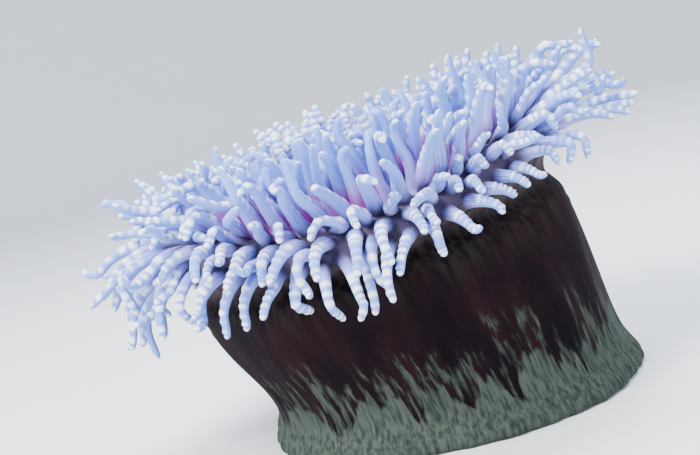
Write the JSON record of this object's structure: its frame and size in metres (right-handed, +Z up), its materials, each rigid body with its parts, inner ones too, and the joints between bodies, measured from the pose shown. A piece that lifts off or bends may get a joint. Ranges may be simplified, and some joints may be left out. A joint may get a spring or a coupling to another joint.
{
  "type": "magnificent sea anemone",
  "caption": "Life-size sea anemone on a flat foot: a stout dark column with a pale base, leaning under a wide crown of long, blunt, white-barred tentacles round a central mouth.",
  "frame": {"origin": "middle of the flat sole of the pedal disc, on the floor", "axes": "+Z up; +X along the long side of the crown, which stands higher on +X and lower on -X; -Y is the side the crown leans a little towards, which faces the viewer"},
  "size_m": [0.3617, 0.3428, 0.2205],
  "materials": {
    "foot_skin": "wet pale grey-cream flesh",
    "column_skin": "wet dark maroon-brown flesh",
    "disc_skin": "wet pale mauve flesh",
    "lip_skin": "wet pink-mauve flesh",
    "tentacle_skin": "wet translucent blue-white flesh with opaque white bars"
  },
  "bodies": {
    "root": {"pedal_disc": "foot_skin", "column_lower": "column_skin", "column_upper": "column_skin", "collar": "column_skin", "oral_disc": "disc_skin", "mouth": "lip_skin", "crown_inner_01": "tentacle_skin", "crown_inner_02": "tentacle_skin", "crown_inner_03": "tentacle_skin", "crown_inner_04": "tentacle_skin", "crown_inner_05": "tentacle_skin", "crown_inner_06": "tentacle_skin", "crown_inner_07": "tentacle_skin", "crown_inner_08": "tentacle_skin", "crown_inner_09": "tentacle_skin", "crown_inner_10": "tentacle_skin", "crown_inner_11": "tentacle_skin", "crown_inner_12": "tentacle_skin", "crown_outer_01": "tentacle_skin", "crown_outer_02": "tentacle_skin", "crown_outer_03": "tentacle_skin", "crown_outer_04": "tentacle_skin", "crown_outer_05": "tentacle_skin", "crown_outer_06": "tentacle_skin", "crown_outer_07": "tentacle_skin", "crown_outer_08": "tentacle_skin", "crown_outer_09": "tentacle_skin", "crown_outer_10": "tentacle_skin", "crown_outer_11": "tentacle_skin", "crown_outer_12": "tentacle_skin"}
  },
  "joints": []
}
